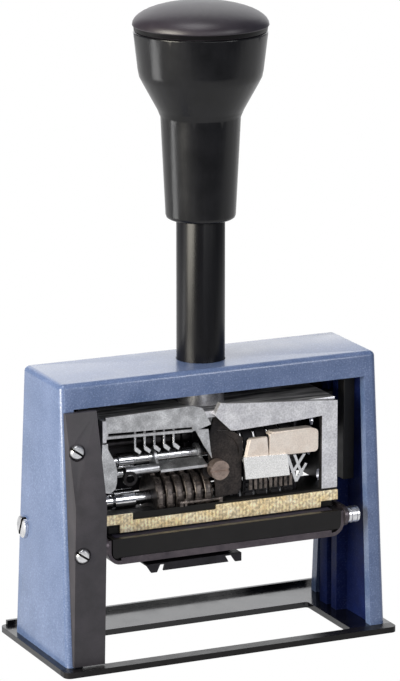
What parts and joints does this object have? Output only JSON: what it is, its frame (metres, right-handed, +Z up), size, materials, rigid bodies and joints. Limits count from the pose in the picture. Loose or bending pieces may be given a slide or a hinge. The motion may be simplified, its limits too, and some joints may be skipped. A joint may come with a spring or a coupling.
{
  "type": "date and numbering stamp",
  "caption": "Hand numbering and date stamp: bridge housing on a base plate, knob on a sprung rod, carriage with number wheels and date bands, and a swinging ink pad.",
  "frame": {"origin": "centre of the base plate's outline, on the surface that the stamp stands on", "axes": "+X to the stamp's right seen from the front, +Y to its rear, +Z up along the plunger rod"},
  "size_m": [0.1084, 0.0516, 0.1919],
  "materials": {
    "blue_paint": "fine textured enamel",
    "black_enamel": "gloss",
    "screw_steel": "turned, zinc plated",
    "spring_steel": "drawn wire",
    "guard_plastic": "satin moulded",
    "black_plastic": "matt moulded",
    "dark_sheet": "blackened sheet",
    "knob_plastic": "gloss",
    "ground_steel": "ground",
    "zinc_casting": "satin plated casting",
    "brass": "satin",
    "grey_sheet": "dull sheet",
    "chrome": "bright plated",
    "wheel_steel": "inked, darkened steel",
    "selector_steel": "brownish turned steel",
    "band_rubber": "matt",
    "beige_plastic": "satin moulded",
    "bright_sheet": "polished sheet",
    "pad_sheet": "burnished sheet",
    "ink_felt": "inked felt"
  },
  "bodies": {
    "frame": {"housing": "blue_paint", "base_plate": "black_enamel", "base_screws": "screw_steel", "guide_tube": "black_enamel", "tube_screws": "screw_steel", "return_spring": "spring_steel", "side_guard": "guard_plastic", "guard_screws": "screw_steel", "pivot_screws": "screw_steel", "guide_rails": "black_plastic", "rear_cover": "dark_sheet"},
    "plunger": {"knob_grip": "knob_plastic", "knob_cap": "knob_plastic", "plunger_rod": "ground_steel", "rod_nut": "screw_steel", "carriage_frame": "zinc_casting", "back_plate": "dark_sheet", "sole_plate": "black_plastic", "type_plate": "black_plastic", "brass_strip": "brass", "guide_shoes": "black_plastic", "bridge_plate": "grey_sheet", "hub_bracket": "dark_sheet", "number_shaft": "ground_steel", "shaft_collars": "chrome", "cross_rods": "ground_steel", "detent_fingers": "spring_steel", "wheel_guard": "grey_sheet", "wheel_cover": "grey_sheet", "side_lever": "grey_sheet", "date_cheeks": "grey_sheet", "date_axle": "ground_steel", "date_former": "grey_sheet", "date_band_1": "band_rubber", "date_band_2": "band_rubber", "date_band_3": "band_rubber", "date_band_4": "band_rubber", "date_cover_large": "beige_plastic", "date_cover_small": "beige_plastic", "date_shroud": "bright_sheet", "date_springs": "spring_steel"},
    "number_wheel_a": {"number_wheel_1": "wheel_steel"},
    "number_wheel_b": {"number_wheel_2": "wheel_steel"},
    "number_wheel_c": {"number_wheel_3": "wheel_steel"},
    "number_wheel_d": {"number_wheel_4": "wheel_steel"},
    "number_wheel_e": {"number_wheel_5": "wheel_steel"},
    "number_wheel_f": {"number_wheel_6": "wheel_steel"},
    "date_wheel_a": {"date_wheel_1": "wheel_steel"},
    "date_wheel_b": {"date_wheel_2": "wheel_steel"},
    "date_wheel_c": {"date_wheel_3": "wheel_steel"},
    "date_wheel_d": {"date_wheel_4": "wheel_steel"},
    "selector": {"selector_knob": "selector_steel"},
    "pawl": {"feed_pawl": "grey_sheet"},
    "pad_carrier": {"pad_frame": "pad_sheet", "pad_tray": "guard_plastic", "ink_pad": "ink_felt", "pad_clip": "dark_sheet", "roller_pins": "ground_steel"},
    "left_roller": {"roller_left": "screw_steel"},
    "right_roller": {"roller_right": "screw_steel"}
  },
  "joints": [
    {"name": "plunger_slide", "type": "slide", "parent": "frame", "child": "plunger", "axis": [0, 0, -1], "range_m": [0, 0.039], "stiffness_N_per_m": 400, "springref_m": -0.03, "deforming": ["return_spring"]},
    {"name": "pad_swing", "type": "hinge", "parent": "frame", "child": "pad_carrier", "pos_m": [0, 0.0113, 0.0363], "axis": [1, 0, 0], "range_deg": [0, 126]},
    {"name": "roller_left_spin", "type": "hinge", "parent": "pad_carrier", "child": "left_roller", "pos_m": [-0.0418, -0.0185, 0.0366], "axis": [1, 0, 0], "continuous": true},
    {"name": "roller_right_spin", "type": "hinge", "parent": "pad_carrier", "child": "right_roller", "pos_m": [0.0418, -0.0185, 0.0366], "axis": [1, 0, 0], "continuous": true},
    {"name": "number_wheel_1_spin", "type": "hinge", "parent": "plunger", "child": "number_wheel_a", "pos_m": [-0.0186, -0.0079, 0.0467], "axis": [1, 0, 0], "continuous": true},
    {"name": "number_wheel_2_spin", "type": "hinge", "parent": "plunger", "child": "number_wheel_b", "pos_m": [-0.0155, -0.0079, 0.0467], "axis": [1, 0, 0], "continuous": true},
    {"name": "number_wheel_3_spin", "type": "hinge", "parent": "plunger", "child": "number_wheel_c", "pos_m": [-0.0124, -0.0079, 0.0467], "axis": [1, 0, 0], "continuous": true},
    {"name": "number_wheel_4_spin", "type": "hinge", "parent": "plunger", "child": "number_wheel_d", "pos_m": [-0.0093, -0.0079, 0.0467], "axis": [1, 0, 0], "continuous": true},
    {"name": "number_wheel_5_spin", "type": "hinge", "parent": "plunger", "child": "number_wheel_e", "pos_m": [-0.0062, -0.0079, 0.0467], "axis": [1, 0, 0], "continuous": true},
    {"name": "number_wheel_6_spin", "type": "hinge", "parent": "plunger", "child": "number_wheel_f", "pos_m": [-0.0031, -0.0079, 0.0467], "axis": [1, 0, 0], "continuous": true},
    {"name": "date_wheel_1_spin", "type": "hinge", "parent": "plunger", "child": "date_wheel_a", "pos_m": [0.0106, -0.0079, 0.0588], "axis": [1, 0, 0], "continuous": true},
    {"name": "date_wheel_2_spin", "type": "hinge", "parent": "plunger", "child": "date_wheel_b", "pos_m": [0.015, -0.0079, 0.0588], "axis": [1, 0, 0], "continuous": true},
    {"name": "date_wheel_3_spin", "type": "hinge", "parent": "plunger", "child": "date_wheel_c", "pos_m": [0.0194, -0.0079, 0.0588], "axis": [1, 0, 0], "continuous": true},
    {"name": "date_wheel_4_spin", "type": "hinge", "parent": "plunger", "child": "date_wheel_d", "pos_m": [0.0238, -0.0079, 0.0588], "axis": [1, 0, 0], "continuous": true},
    {"name": "selector_turn", "type": "hinge", "parent": "plunger", "child": "selector", "pos_m": [-0.001, -0.0162, 0.0549], "axis": [0, 1, 0], "range_deg": [-40, 40]},
    {"name": "pawl_rock", "type": "hinge", "parent": "plunger", "child": "pawl", "pos_m": [-0.0108, -0.0003, 0.0526], "axis": [1, 0, 0], "range_deg": [0, 14]}
  ],
  "couplings": [
    {"joint": "pad_swing", "follows": "plunger_slide", "rad_per_m": 56.38},
    {"joint": "pawl_rock", "follows": "plunger_slide", "rad_per_m": 6.26}
  ]
}
